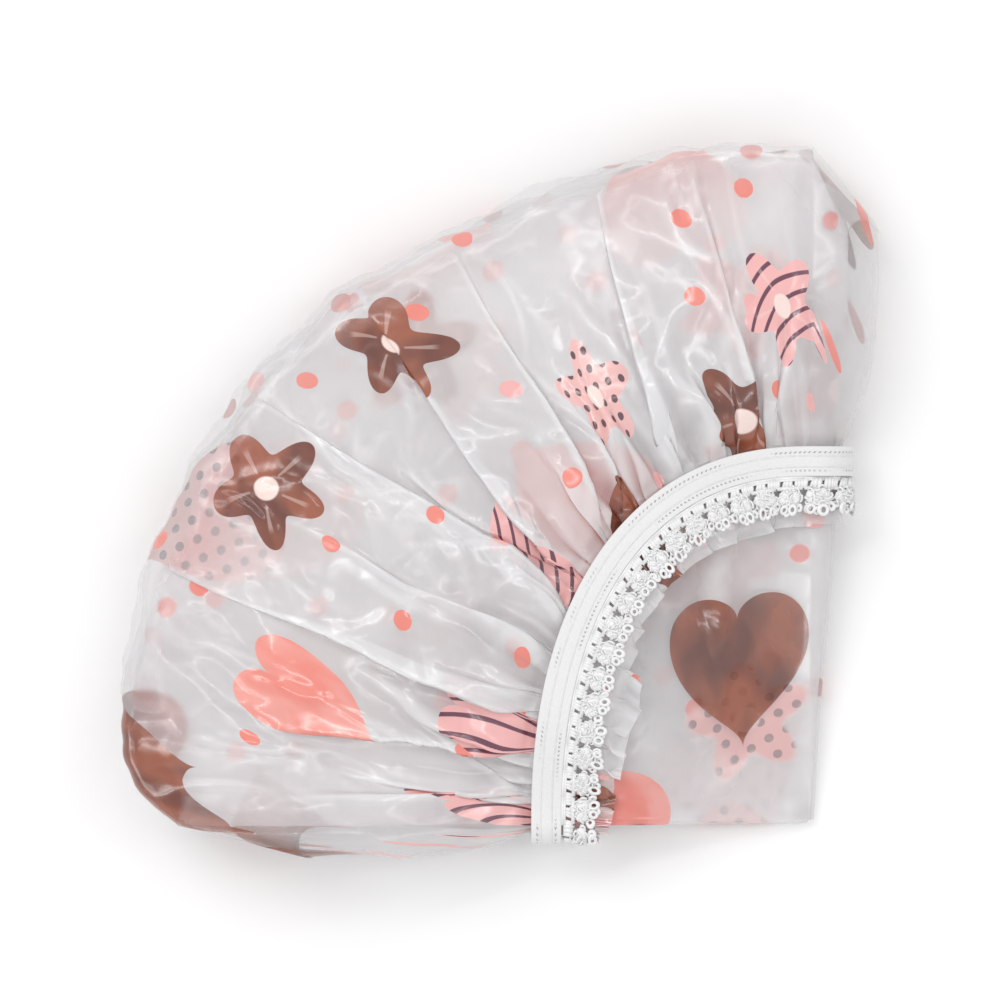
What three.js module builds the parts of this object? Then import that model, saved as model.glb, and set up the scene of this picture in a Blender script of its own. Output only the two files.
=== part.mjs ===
// Shower cap, folded in quarter like a fan, lying flat with its mouth outward.
// Millimetres, +Z up. The fan spreads from its folded corner, which is the centre of the crown,
// to -X and +Y, and the underside rests on z = 0 with the origin under the middle.
//
// One disc of film makes the crown and, turned in at the rim, the gathered skirt. A knitted
// elastic with a lace edge is sewn round the mouth. The cap is folded twice: the lower half
// goes behind at the bottom edge, then the right half goes behind at the right edge.

import * as THREE from 'three';
import { mergeVertices } from 'three/addons/utils/BufferGeometryUtils.js';

// Film
const rimRadius = 140;          // corner to rim, on the folded cap
const filmWall = 0.3;           // thicker than the real 0.12 film
const pleatDepth = 0.8;         // gathers under the elastic
const hemAllowance = 4.5;       // film past the lace edge, on average
const hemWave = 2.5;            // how much that allowance comes and goes
const tipRing = 5;              // first ring of the crown round its centre
const foldFall = 2.4;           // width of a main fold's steep side
const foldGrowth = 12;          // from the elastic to where a main fold has its full height
const edgeRoom = 0.8;           // from the elastic to where the film starts to rise

// Heights of one folded quarter, from its crown to its outer side
const rimPocket = 4.2;
const foldPocket = 6.3;         // at the rim again, where it goes round the folds
const innerPocket = 1.5;        // halfway between the corner and the hem
const rimPuff = 8.6;            // extra height of the top quarter at the rim
const mouthPuff = 6.2;          // and at its elastic
const foldGap = 0.3;            // between two crowns that lie on each other
const turnGap = 0.5;            // between two outer sides that lie on each other

// Mouth
const mouthHalfWidth = 56;      // corner to the elastic's outer edge, along the bottom fold
const mouthHalfHeight = 75.4;   // the same along the right fold
const mouthSquareness = 2.3;

// Elastic tape and its lace edge
const tapeWidth = 6;
const backThickness = 0.25;
const faceThickness = 0.28;
const faceRib = 0.12;           // how far the face stands up over each strand
const strandDiameter = 0.45;
const strandCount = 3;
const laceWidth = 8;
const laceThickness = 0.6;
const laceLift = 0.45;          // lace above the tape's back
const lacePitch = 5.7;
const laceSideGap = 0.3;        // lace to tape edge

// Sewing
const threadDiameter = 0.25;
const threadInset = 1.9;        // stitch line to the tape's outer edge
const threadSpacing = 2.2;      // between the two needle lines

// Clearances
const layerGap = 0.12;          // between the layers of the elastic
const filmGap = 0.3;            // film to what lies on it
const crownGap = 0.4;           // film or thread to the crown below it
const floorGap = 0.05;          // needle thread to the surface that the cap lies on

// Main folds of the top quarter, where the gathered film laps over itself: share of the quarter
// turn at the elastic and at the fold's end, its length and height, and its steep side
const mainFolds = [
  { near: 0.06, end: 0.035, length: 52, height: 1.4, side: 1 },
  { near: 0.165, end: 0.1, length: 58, height: 1.8, side: -1 },
  { near: 0.25, end: 0.235, length: 95, height: 2.2, side: -1 },
  { near: 0.35, end: 0.34, length: 62, height: 1.6, side: 1 },
  { near: 0.45, end: 0.415, length: 88, height: 2.2, side: 1 },
  { near: 0.52, end: 0.54, length: 74, height: 2, side: -1 },
  { near: 0.625, end: 0.65, length: 70, height: 1.8, side: 1 },
  { near: 0.765, end: 0.795, length: 72, height: 2, side: -1 },
  { near: 0.895, end: 0.89, length: 60, height: 1.6, side: 1 },
];

// Steps of the meshes. The gathered film has two steps to each of the others in a quarter: one
// on the fold line, and for each main fold its crest, its foot and halfway to the next.
const stepsInFold = 3;
const stepsInQuarter = (1 + stepsInFold * mainFolds.length) / 2;
const stepsInBend = 5;
const bandStepsInQuarter = 14;
const bandStepsInBend = 10;
const rimSteps = 4;
const tubeSides = 3;

// Outline of the fan: share of the quarter turn from the bottom fold, share of the rim radius
const rimShares = [
  [0, 0.9], [0.06, 0.984], [0.2, 1.016], [0.47, 1.026], [0.65, 0.995], [0.9, 0.981], [1, 0.961],
];
const bottomPullShare = 0.17;   // how far the rim draws in where it goes round each fold
const rightPullShare = 0.1;
const pleatFadeShares = [[0, 1], [0.5, 0.55], [1, 0]];
const skirtShares = [1, 0.5, 0.2, 0];
const shoulderShare = 0.5;      // how far out the film is still on its way down to the elastic
const flankShare = 0.35;        // height left halfway down a main fold's slow side
const crestDipShare = 0.35;     // gathers beside a main fold, to those at its foot
const hemBeat = 3;              // the slower of the hem's two uneven waves
const hemBeatStart = 0.3;
const puffRampShare = 0.3;     // how far from each fold the top quarter reaches its full puff
const foldRampShare = 0.11;     // how far from each fold the rim's pocket is still higher
const crowdingShare = 0.5;      // how much closer the steps are at the folds
const pocketTopShare = 0.5;     // from the elastic to the rim, where the pocket is full height

const colours = {
  film: 0xdfe0e2, knit: 0xf4f4f2, lace: 0xffffff, rubber: 0xe6dcc4, thread: 0xfafafa,
};

// What lies on the film at the mouth, from the film outward, and the pocket that this needs
const backLevel = filmGap;
const strandLevel = backLevel + backThickness + layerGap;
const faceLevel = strandLevel + strandDiameter + layerGap;
const needleLevel = faceLevel + faceThickness + faceRib + layerGap;
const bandHeight = needleLevel + threadDiameter + floorGap;
const underLevel = -filmWall - pleatDepth - layerGap - threadDiameter;
const bandPocket = crownGap - underLevel + bandHeight;
const bandReach = tapeWidth + laceSideGap + laceWidth + hemAllowance + hemWave + filmGap;
const foldRadius = filmWall + foldGap / 2;
const turnRadius = turnGap / 2;

const quarterTurn = Math.PI / 2;

function lerp(from, to, part) {
  return from + (to - from) * part;
}

function along(shares, place) {
  const after = shares.findIndex(([at]) => at >= place);
  if (after < 0) return shares.at(-1)[1];
  if (after === 0) return shares[0][1];
  const [low, high] = [shares[after - 1], shares[after]];
  return lerp(low[1], high[1], (place - low[0]) / (high[0] - low[0]));
}

// A smooth curve through the outline's shares
const rimCurve = new THREE.SplineCurve(rimShares.map(([at, size]) => new THREE.Vector2(at, size)));
const rimSamples = rimCurve.getPoints(rimShares.length * rimShares.length)
  .map((point) => [point.x, point.y]);

// One round of the mouth has eight legs: a quarter, a bend, a quarter, and so on.
// A spot is its angle in the quarter and how far each fold has turned it.
const legs = [
  { quarter: true, from: 0, to: 1, under: 0, behind: 0, top: true },
  { quarter: false, at: 1, under: [0, 0], behind: [0, 1] },
  { quarter: true, from: 1, to: 0, under: 0, behind: 1 },
  { quarter: false, at: 0, under: [0, 1], behind: [1, 1] },
  { quarter: true, from: 0, to: 1, under: 1, behind: 1 },
  { quarter: false, at: 1, under: [1, 1], behind: [1, 0] },
  { quarter: true, from: 1, to: 0, under: 1, behind: 0 },
  { quarter: false, at: 0, under: [1, 0], behind: [0, 0] },
];

function spotAt(leg, part) {
  const place = legs[leg];
  if (place.quarter) {
    return {
      share: lerp(place.from, place.to, part),
      under: Math.PI * place.under,
      behind: Math.PI * place.behind,
      top: place.top ?? false,
    };
  }
  return {
    share: place.at,
    under: Math.PI * lerp(...place.under, part),
    behind: Math.PI * lerp(...place.behind, part),
    top: false,
  };
}

function mouthRadius(share) {
  const angle = share * quarterTurn;
  const across = (Math.cos(angle) / mouthHalfWidth) ** mouthSquareness;
  const up = (Math.sin(angle) / mouthHalfHeight) ** mouthSquareness;
  return (across + up) ** (-1 / mouthSquareness);
}

function rimAt(spot) {
  const bottomPull = bottomPullShare * Math.sin(spot.under);
  const rightPull = rightPullShare * Math.sin(spot.behind);
  return rimRadius * (along(rimSamples, spot.share) - bottomPull - rightPull);
}

// Radii where the height of a quarter changes, the same ones that carry the film's rings
function breaksAt(spot) {
  const mouth = mouthRadius(spot.share);
  const hem = mouth - bandReach;
  const rim = rimAt(spot);
  return {
    inner: hem / 2, hem, mouth, full: lerp(mouth, rim, pocketTopShare), rim,
  };
}

// From 0 on the nearest fold to 1 at the end of the ramp
function rampUp(spot, rampShare) {
  const rise = Math.min(spot.share, 1 - spot.share, rampShare) / rampShare;
  return Math.sin(quarterTurn * rise) ** 2;
}

// Height of a quarter's outer side above its crown, without the top quarter's puff
function pocketHeight(spot, radius) {
  const { inner, hem, mouth, full } = breaksAt(spot);
  const fullPocket = lerp(foldPocket, rimPocket, rampUp(spot, foldRampShare));
  const steps = [
    [0, 0], [inner, innerPocket], [hem, bandPocket], [mouth, bandPocket], [full, fullPocket],
  ];
  return along(steps, radius);
}

function puffHeight(spot, radius) {
  if (!spot.top) return 0;
  const { hem, mouth, full } = breaksAt(spot);
  const size = along([[hem, mouthPuff], [mouth, mouthPuff], [full, rimPuff]], radius);
  return size * rampUp(spot, puffRampShare);
}

function outerHeight(spot, radius) {
  return pocketHeight(spot, radius) + puffHeight(spot, radius);
}

// Where a place on the unfolded quarter comes to lie after both folds
function folded(spot, radius, height) {
  const angle = spot.share * quarterTurn;
  const pocket = pocketHeight(spot, radius);
  const turnCentre = -2 * foldRadius - pocket - turnRadius;
  const arm = foldRadius + height;
  const level = -foldRadius + arm * Math.cos(spot.under);
  const reach = level - turnCentre;
  const lift = pocket - 2 * turnCentre;
  return new THREE.Vector3(
    -radius * Math.cos(angle) + reach * Math.sin(spot.behind),
    radius * Math.sin(angle) - arm * Math.sin(spot.under),
    turnCentre + reach * Math.cos(spot.behind) + lift,
  );
}

function closedMesh(name, points, triangles, colour, roughness) {
  const geometry = new THREE.BufferGeometry();
  const numbers = points.flatMap((point) => [point.x, point.y, point.z]);
  geometry.setAttribute('position', new THREE.Float32BufferAttribute(numbers, 3));
  geometry.setIndex(triangles);
  const mesh = new THREE.Mesh(
    mergeVertices(geometry),
    new THREE.MeshStandardMaterial({ color: colour, roughness, metalness: 0 }),
  );
  mesh.name = name;
  return mesh;
}

// Film

function stations(quarterSteps, bendSteps) {
  const list = [];
  legs.forEach((place, leg) => {
    const steps = place.quarter ? quarterSteps : bendSteps;
    for (let step = 0; step < steps; step += 1) {
      const crowding = crowdingShare * Math.sin(2 * Math.PI * step / steps) / (2 * Math.PI);
      list.push(spotAt(leg, step / steps - (place.quarter ? crowding : 0)));
    }
  });
  return list;
}

// The film of one station, from the crown's centre out to the rim and back to the hem:
// each row has a radius and the heights of the film's outside and inside
function crownRows(spot) {
  const { inner, hem, mouth, full, rim } = breaksAt(spot);
  const round = outerHeight(spot, rim) / 2;
  return [tipRing, inner, hem, mouth, full, rim - round]
    .map((radius) => ({ radius, out: -filmWall, inside: 0, insideRadius: radius }));
}

function rimRows(spot) {
  const { rim } = breaksAt(spot);
  const round = outerHeight(spot, rim) / 2;
  const rows = [];
  for (let step = 1; step < rimSteps; step += 1) {
    const turn = Math.PI * step / rimSteps;
    rows.push({
      radius: rim - round + (round + filmWall / 2) * Math.sin(turn),
      out: round - filmWall / 2 - (round + filmWall / 2) * Math.cos(turn),
      insideRadius: rim - round + (round - filmWall / 2) * Math.sin(turn),
      inside: round - filmWall / 2 - (round - filmWall / 2) * Math.cos(turn),
    });
  }
  rows.push({
    radius: rim - round,
    insideRadius: rim - round,
    out: outerHeight(spot, rim),
    inside: outerHeight(spot, rim) - filmWall,
  });
  return rows;
}

// A main fold's crest at a distance out from the elastic
function crestAt(fold, distance) {
  const run = Math.min(distance / fold.length, 1);
  const grown = Math.sin(quarterTurn * Math.min(distance / foldGrowth, 1));
  const rise = fold.height * grown * (1 - run * run);
  return { share: lerp(fold.near, fold.end, run), rise, side: fold.side };
}

// The lines of the film round the top quarter: its first edge, then for each main fold the
// crest and the foot in the order that they come, and halfway to the next
function foldLines(radius, distance) {
  const fall = foldFall / (radius * quarterTurn);
  const crests = mainFolds.map((fold) => crestAt(fold, distance));
  const lines = [{ share: 0, rise: 0, dip: 0 }];
  crests.forEach(({ share, rise, side }, at) => {
    const crest = { share, rise, dip: crestDipShare };
    const foot = { share: share + side * fall, rise: 0, dip: 1 };
    const [first, second] = side > 0 ? [crest, foot] : [foot, crest];
    const next = crests[at + 1] ?? { share: 1, rise: 0, side };
    const nextStart = next.side > 0 ? next.share : next.share - fall;
    const slopes = (side < 0 ? rise : 0) + (next.side > 0 ? next.rise : 0);
    lines.push(first, second, {
      share: (second.share + nextStart) / 2, rise: flankShare * slopes, dip: crestDipShare,
    });
  });
  return lines;
}

// From -1 to 1, uneven, because the disc is cut by eye
function hemWaveAt(spot, station) {
  const crowding = crowdingShare * Math.sin(2 * Math.PI * spot.share) / (2 * Math.PI);
  const turn = spot.top ? 2 * stepsInQuarter * (spot.share + crowding) : station;
  return Math.sin(turn) * Math.cos(turn / hemBeat + hemBeatStart);
}

function skirtRows(spot, station) {
  const inBend = Math.max(Math.sin(spot.under), Math.sin(spot.behind));
  const depth = pleatDepth * (1 - inBend / 2);
  const plain = breaksAt(spot);
  const lineAt = (part) => {
    if (!spot.top) return { share: spot.share, rise: 0, dip: station % 2 };
    const distance = part * (plain.full - plain.mouth);
    return foldLines(plain.mouth + distance, distance)[station];
  };
  const rows = [];
  const outside = (place, line, radius, drop, fade) => {
    const out = outerHeight(place, radius) + line.rise - drop - depth * line.dip * fade;
    rows.push({ spot: place, radius, out, insideRadius: radius, inside: out - filmWall });
  };
  skirtShares.forEach((part) => {
    const line = lineAt(part);
    const place = { ...spot, share: line.share };
    const { mouth, full } = breaksAt(place);
    const drop = bandHeight * Math.max(1 - part / shoulderShare, 0);
    outside(place, line, lerp(mouth + edgeRoom, full, part), drop, along(pleatFadeShares, part));
  });
  const line = lineAt(0);
  const place = { ...spot, share: line.share };
  const tapeInner = breaksAt(place).mouth - tapeWidth;
  const hemRoom = laceSideGap + laceWidth + hemAllowance + hemWave * hemWaveAt(place, station);
  outside(place, line, tapeInner, bandHeight, 1);
  outside(place, line, tapeInner - hemRoom, bandHeight, 1);
  return rows;
}

function filmCap() {
  const coarse = stations(stepsInQuarter, stepsInBend);
  const fine = stations(2 * stepsInQuarter, 2 * stepsInBend);
  const rings = [];
  const addRings = (list, rowsOf) => {
    const table = list.map(rowsOf);
    table[0].forEach((_, row) => {
      rings.push(table.map((rows, station) => ({ spot: list[station], ...rows[row] })));
    });
  };
  addRings(coarse, crownRows);
  addRings(coarse, rimRows);
  addRings(fine, skirtRows);

  const points = [];
  const place = (spot, radius, height) => points.push(folded(spot, radius, height)) - 1;
  const outRings = rings.map((ring) => ring.map((p) => place(p.spot, p.radius, p.out)));
  const inRings = rings.map((ring) => ring.map((p) => place(p.spot, p.insideRadius, p.inside)));

  const tipSpot = { share: 0, under: quarterTurn, behind: quarterTurn, top: false };
  const outTip = place(tipSpot, 0, -filmWall);
  const inTip = place(tipSpot, 0, 0);

  const triangles = [];
  const sheet = (ringList, tip, flip) => {
    const face = (a, b, c) => triangles.push(...(flip ? [a, c, b] : [a, b, c]));
    const first = ringList[0];
    first.forEach((vertex, at) => face(tip, vertex, first[(at + 1) % first.length]));
    for (let row = 1; row < ringList.length; row += 1) {
      const [near, far] = [ringList[row - 1], ringList[row]];
      const many = far.length / near.length;
      near.forEach((vertex, at) => {
        const next = near[(at + 1) % near.length];
        const farSide = (step) => far[(many * at + step) % far.length];
        face(vertex, farSide(0), farSide(1));
        if (many > 1) face(vertex, farSide(1), next);
        if (many > 1) face(next, farSide(1), farSide(2));
        else face(vertex, farSide(1), next);
      });
    }
  };
  sheet(outRings, outTip, false);
  sheet(inRings, inTip, true);
  const [outHem, inHem] = [outRings.at(-1), inRings.at(-1)];
  outHem.forEach((vertex, at) => {
    const next = (at + 1) % outHem.length;
    triangles.push(vertex, inHem[at], inHem[next], vertex, inHem[next], outHem[next]);
  });
  return closedMesh('film_cap', points, triangles, colours.film, 0.35);
}

// Everything on the mouth is placed by its way round it, its inset from the tape's outer edge
// and its level above the film

function bandPoint(spot, inset, level) {
  const here = mouthPlan(spot.share);
  const probe = 1 / stepsInQuarter / stepsInQuarter;
  const before = mouthPlan(Math.max(spot.share - probe, 0));
  const after = mouthPlan(Math.min(spot.share + probe, 1));
  const tangent = after.sub(before).normalize();
  if (spot.share === 0) tangent.set(0, 1);
  if (spot.share === 1) tangent.set(1, 0);
  const plan = new THREE.Vector2(
    here.x + inset * tangent.y,
    here.y - inset * tangent.x,
  );
  const share = THREE.MathUtils.clamp(Math.atan2(plan.y, -plan.x) / quarterTurn, 0, 1);
  const place = { ...spot, share };
  const radius = plan.length();
  const film = outerHeight(place, mouthRadius(share)) - bandHeight;
  return folded(place, radius, film + level);
}

function mouthPlan(share) {
  const angle = share * quarterTurn;
  return new THREE.Vector2(-Math.cos(angle), Math.sin(angle)).multiplyScalar(mouthRadius(share));
}

function tubeRound(name, section, colour, roughness) {
  const list = stations(bandStepsInQuarter, bandStepsInBend);
  const points = list.flatMap((spot) => section.map(([inset, level]) => bandPoint(spot, inset, level)));
  const sides = section.length;
  const triangles = [];
  list.forEach((_, at) => {
    const next = (at + 1) % list.length;
    for (let side = 0; side < sides; side += 1) {
      const beside = (side + 1) % sides;
      const [a, b] = [at * sides + side, at * sides + beside];
      const [c, d] = [next * sides + side, next * sides + beside];
      triangles.push(a, c, b, b, c, d);
    }
  });
  return closedMesh(name, points, triangles, colour, roughness);
}

function roundSection(inset, level, diameter) {
  const section = [];
  for (let side = 0; side < tubeSides; side += 1) {
    const turn = 2 * Math.PI * side / tubeSides + quarterTurn;
    section.push([
      inset + diameter / 2 * Math.cos(turn),
      level + diameter / 2 * (1 + Math.sin(turn)),
    ]);
  }
  return section;
}

const strandPitch = tapeWidth / strandCount;

function tapeBack() {
  const top = backLevel + backThickness;
  const section = [[0, backLevel], [tapeWidth, backLevel], [tapeWidth, top], [0, top]];
  return tubeRound('tape_back', section, colours.knit, 0.9);
}

// The face is ribbed: it stands up over each strand and dips between them
function tapeFace() {
  const top = faceLevel + faceThickness;
  const section = [[0, faceLevel], [tapeWidth, faceLevel]];
  for (let rib = 2 * strandCount; rib >= 0; rib -= 1) {
    section.push([rib * strandPitch / 2, top + faceRib * (rib % 2)]);
  }
  return tubeRound('tape_face', section, colours.knit, 0.9);
}

function rubberStrand(count) {
  const section = roundSection((count + 0.5) * strandPitch, strandLevel, strandDiameter);
  return tubeRound(`rubber_strand_${count + 1}`, section, colours.rubber, 0.6);
}

function needleThread(count) {
  const inset = threadInset + count * threadSpacing;
  const section = roundSection(inset, needleLevel, threadDiameter);
  return tubeRound(`needle_thread_${count + 1}`, section, colours.thread, 0.5);
}

function underThread() {
  const inset = threadInset + threadSpacing / 2;
  return tubeRound('under_thread', roundSection(inset, underLevel, threadDiameter), colours.thread, 0.5);
}

// Lace edge: one repeat, in shares of the pitch and of the lace's width, goes round the mouth.
// It has a three-sided eyelet, a slot beside it and a fan of three picots.
const picotShares = [
  [1, 0.55], [0.9, 0.82], [0.74, 0.74], [0.6, 1], [0.4, 1], [0.26, 0.74], [0.1, 0.82], [0, 0.55],
];
const eyeletShares = [[0.35, 0.38], [0.6, 0.14], [0.1, 0.16]];
const slotShares = [[0.75, 0.33], [0.88, 0.31], [0.9, 0.12], [0.77, 0.1]];
const sideShares = [[0, 0], [0.5, 0.02], [1, 0]];

function laceEdge() {
  const finder = lengthFinder(tapeWidth);
  const repeats = Math.round(finder.total / lacePitch);
  const outline = [...sideShares, ...picotShares].map(([u, v]) => new THREE.Vector2(u, v));
  const holes = [eyeletShares, slotShares].map((hole) => hole.map(([u, v]) => new THREE.Vector2(u, v)));
  const faces = THREE.ShapeUtils.triangulateShape(outline, holes);
  const flat = [...outline, ...holes.flat()];
  const level = backLevel + laceLift;
  const points = [];
  const triangles = [];
  for (let repeat = 0; repeat < repeats; repeat += 1) {
    const start = points.length;
    [level, level + laceThickness].forEach((height) => {
      flat.forEach(({ x, y }) => {
        const spot = finder.spot((repeat + x) / repeats);
        points.push(bandPoint(spot, tapeWidth + laceSideGap + y * laceWidth, height));
      });
    });
    const top = start + flat.length;
    faces.forEach(([a, b, c]) => {
      triangles.push(start + a, start + b, start + c, top + a, top + c, top + b);
    });
    const wall = (from, count, first, last) => {
      for (let at = first; at < last; at += 1) {
        const [a, b] = [from + at, from + (at + 1) % count];
        triangles.push(start + a, top + a, top + b, start + a, top + b, start + b);
      }
    };
    wall(0, outline.length, 0, sideShares.length - 1);
    wall(0, outline.length, sideShares.length, outline.length - 1);
    let from = outline.length;
    holes.forEach((hole) => {
      wall(from, hole.length, 0, hole.length);
      from += hole.length;
    });
  }
  return closedMesh('lace_edge', points, triangles, colours.lace, 0.4);
}

// Spots at equal lengths round the folded mouth
function lengthFinder(inset) {
  const samples = [];
  let total = 0;
  let last = null;
  const steps = stepsInQuarter * bandStepsInBend;
  for (let at = 0; at <= legs.length * steps; at += 1) {
    const leg = Math.floor(at / steps) % legs.length;
    const point = bandPoint(spotAt(leg, (at % steps) / steps), inset, backLevel);
    if (last) total += point.distanceTo(last);
    last = point;
    samples.push([total, at / steps]);
  }
  return {
    total,
    spot(share) {
      const turn = along(samples, (share % 1) * total) % legs.length;
      return spotAt(Math.floor(turn), turn % 1);
    },
  };
}

const showerCap = new THREE.Group();
showerCap.add(filmCap(), tapeBack(), tapeFace());
for (let count = 0; count < strandCount; count += 1) showerCap.add(rubberStrand(count));
showerCap.add(laceEdge(), needleThread(0), needleThread(1), underThread());

// The origin goes to the middle of the footprint, on the surface that the cap lies on
const extent = new THREE.Box3().setFromObject(showerCap);
const middle = extent.getCenter(new THREE.Vector3());
showerCap.position.set(-middle.x, -middle.y, -extent.min.z);

export default showerCap;
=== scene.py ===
"""Shower cap of frosted film, folded in quarter and laid flat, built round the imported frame.

Sizes are in millimetres until a piece's mesh is written in metres. The film and all that is sewn
to it are shaped on the unfolded quarter, and one map lays them where both folds put them.
"""
import math

import bpy
import numpy as np
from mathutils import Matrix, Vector


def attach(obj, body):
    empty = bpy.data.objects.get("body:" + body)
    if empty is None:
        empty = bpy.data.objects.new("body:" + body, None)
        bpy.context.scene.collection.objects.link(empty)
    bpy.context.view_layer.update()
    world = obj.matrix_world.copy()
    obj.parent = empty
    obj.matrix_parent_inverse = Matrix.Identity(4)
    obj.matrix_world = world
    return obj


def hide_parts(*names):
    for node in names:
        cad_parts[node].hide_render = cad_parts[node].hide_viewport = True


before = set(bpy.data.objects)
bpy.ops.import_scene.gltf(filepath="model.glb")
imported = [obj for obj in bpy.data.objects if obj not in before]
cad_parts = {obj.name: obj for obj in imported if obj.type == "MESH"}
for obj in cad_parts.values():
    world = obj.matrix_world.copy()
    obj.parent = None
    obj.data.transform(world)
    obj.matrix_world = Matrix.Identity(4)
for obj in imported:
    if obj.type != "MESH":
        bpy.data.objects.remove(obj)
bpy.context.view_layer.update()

# Sizes of the folded cap

MM = 0.001
CORNER = np.array([62.215, -64.661, 0.0])
RIM_RADIUS = 140
RIM_POCKET, FOLD_POCKET, INNER_POCKET = 4.2, 6.3, 1.5
RIM_PUFF, MOUTH_PUFF = 8.6, 6.2
FOLD_RADIUS, TURN_RADIUS = 0.45, 0.25
MOUTH_HALF_WIDTH, MOUTH_HALF_HEIGHT, MOUTH_SQUARENESS = 56, 75.4, 2.3
TAPE_WIDTH, LACE_GAP, LACE_WIDTH, LACE_PITCH = 6, 0.3, 8, 5.7
BAND_HEIGHT, BAND_POCKET, BAND_REACH = 2.06, 3.93, 21.6
BACK_LEVEL, STRAND_LEVEL, FACE_LEVEL, NEEDLE_LEVEL, UNDER_LEVEL = 0.3, 0.67, 1.24, 1.76, -1.47
STRAND_THICK, NEEDLE_THICK, UNDER_THICK, STITCH_LENGTH = 0.45, 0.17, 0.24, 2.4
RIM_SHARES = [(0, 0.9), (0.06, 0.984), (0.2, 1.016), (0.47, 1.026), (0.65, 0.995), (0.9, 0.981), (1, 0.961)]
BOTTOM_PULL, RIGHT_PULL = 0.17, 0.1
PUFF_RAMP, FOLD_RAMP = 0.3, 0.11
QUARTER = math.pi / 2

# The eight legs of one round: share of the quarter turn, then half turns of the two folds
LEGS = np.array([
    # share from, to, under from, to, behind from, to, top
    (0, 1, 0, 0, 0, 0, 1),
    (1, 1, 0, 0, 0, 1, 0),
    (1, 0, 0, 0, 1, 1, 0),
    (0, 0, 0, 1, 1, 1, 0),
    (0, 1, 1, 1, 1, 1, 0),
    (1, 1, 1, 1, 1, 0, 0),
    (1, 0, 1, 1, 0, 0, 0),
    (0, 0, 1, 0, 0, 0, 0),
], float)


def lerp(low, high, part):
    return low + (high - low) * part


def smooth(low, high, value):
    part = np.clip((value - low) / (high - low), 0, 1)
    return part * part * (3 - 2 * part)


def running(steps):
    """The running total, from 0."""
    return np.concatenate([[0], np.cumsum(steps)])


def jitter(seed, count, low=0.0, high=1.0):
    return np.random.default_rng(seed).uniform(low, high, count)


def through(points, count):
    """Samples of a smooth curve through the points."""
    points = np.array(points, float)
    place = np.linspace(0, len(points) - 1, count + 1)
    at = np.minimum(place.astype(int), len(points) - 2)
    t = (place - at)[:, None]
    before, low, high = points[np.maximum(at - 1, 0)], points[at], points[at + 1]
    after = points[np.minimum(at + 2, len(points) - 1)]
    rise, run = (high - before) / 2, (after - low) / 2
    cubic, square = 2 * low - 2 * high + rise + run, 3 * high - 3 * low - 2 * rise - run
    return cubic * t**3 + square * t**2 + rise * t + low


RIM_CURVE = through(RIM_SHARES, 49)


def stepped(radius, steps):
    """Straight stretches between (radius, value) pairs whose radii may be arrays."""
    value = steps[0][1]
    for (near, low), (far, high) in zip(steps, steps[1:]):
        value = value + (high - low) * np.clip((radius - near) / (far - near), 0, 1)
    return value


class Spots:
    """Places on the unfolded quarter, with how far each fold has turned them."""

    def __init__(self, share, under, behind, top):
        self.share, self.under, self.behind, self.top = np.broadcast_arrays(share, under, behind, top)

    @classmethod
    def at(cls, way):
        """way counts the legs: 0 to 8 is once round."""
        way = np.mod(np.asarray(way, float), len(LEGS))
        leg = np.minimum(way.astype(int), len(LEGS) - 1)
        row, part = LEGS[leg], way - leg
        return cls(lerp(row[..., 0], row[..., 1], part), math.pi * lerp(row[..., 2], row[..., 3], part),
                   math.pi * lerp(row[..., 4], row[..., 5], part), row[..., 6])

    def moved(self, share):
        return Spots(share, self.under, self.behind, self.top)

    def spread(self, rows):
        """The same columns for a grid of rows."""
        shape = (rows, self.share.size)
        return Spots(*(np.broadcast_to(a, shape) for a in (self.share, self.under, self.behind, self.top)))

    def by_layer(self, upper, lower):
        """One value on the top quarter, another on the lower ones."""
        return np.where(self.top > 0, upper, lower)

    def rim(self):
        pull = BOTTOM_PULL * np.sin(self.under) + RIGHT_PULL * np.sin(self.behind)
        return RIM_RADIUS * (np.interp(self.share, RIM_CURVE[:, 0], RIM_CURVE[:, 1]) - pull)

    def ramp(self, share):
        rise = np.minimum(np.minimum(self.share, 1 - self.share), share) / share
        return np.sin(QUARTER * rise) ** 2

    def pocket(self, radius):
        mouth = mouth_radius(self.share)
        hem = mouth - BAND_REACH
        full = lerp(mouth, self.rim(), 0.5)
        tall = lerp(FOLD_POCKET, RIM_POCKET, self.ramp(FOLD_RAMP))
        return stepped(radius, [(0, 0), (hem / 2, INNER_POCKET), (hem, BAND_POCKET), (mouth, BAND_POCKET),
                                (full, tall)])

    def outer(self, radius):
        mouth = mouth_radius(self.share)
        full = lerp(mouth, self.rim(), 0.5)
        puff = stepped(radius, [(mouth, MOUTH_PUFF), (full, RIM_PUFF)]) * self.ramp(PUFF_RAMP) * self.top
        return self.pocket(radius) + puff

    def folded(self, radius, height):
        """Where a place on the unfolded quarter comes to lie, in millimetres."""
        angle = self.share * QUARTER
        pocket = self.pocket(radius)
        turn = -2 * FOLD_RADIUS - pocket - TURN_RADIUS
        arm = FOLD_RADIUS + height
        reach = -FOLD_RADIUS + arm * np.cos(self.under) - turn
        x = -radius * np.cos(angle) + reach * np.sin(self.behind)
        y = radius * np.sin(angle) - arm * np.sin(self.under)
        z = turn + reach * np.cos(self.behind) + pocket - 2 * turn
        return np.stack([x, y, z], -1) + CORNER


def mouth_radius(share):
    across = (np.cos(share * QUARTER) / MOUTH_HALF_WIDTH) ** MOUTH_SQUARENESS
    up = (np.sin(share * QUARTER) / MOUTH_HALF_HEIGHT) ** MOUTH_SQUARENESS
    return (across + up) ** (-1 / MOUTH_SQUARENESS)


def mouth_plan(share):
    angle = share * QUARTER
    return np.stack([-np.cos(angle), np.sin(angle)], -1) * mouth_radius(share)[..., None]


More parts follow.
